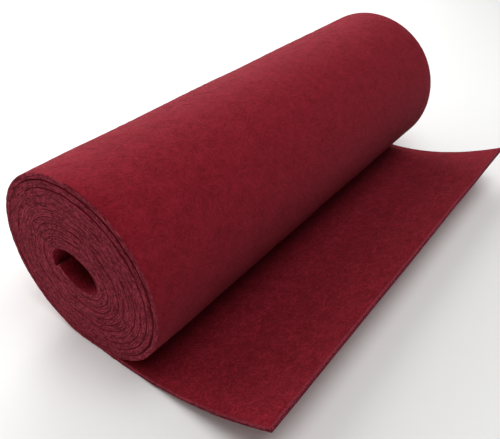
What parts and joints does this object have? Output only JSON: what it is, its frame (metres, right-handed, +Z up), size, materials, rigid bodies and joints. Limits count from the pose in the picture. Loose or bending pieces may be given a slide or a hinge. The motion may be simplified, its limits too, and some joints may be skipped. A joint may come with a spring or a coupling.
{
  "type": "roll of felt",
  "caption": "Cut length of thick felt wound into a roll with an open oval core, its outer end lying loose on the surface and curling up at the edge.",
  "frame": {"origin": "on the floor, under the middle of the roll at half its width", "axes": "+Y along the roll's axis, +X the way the loose end points, +Z up"},
  "size_m": [0.2589, 0.45, 0.1586],
  "materials": {
    "felt": "matte dyed needle felt, deep red"
  },
  "bodies": {
    "root": {"felt": "felt"}
  },
  "joints": []
}
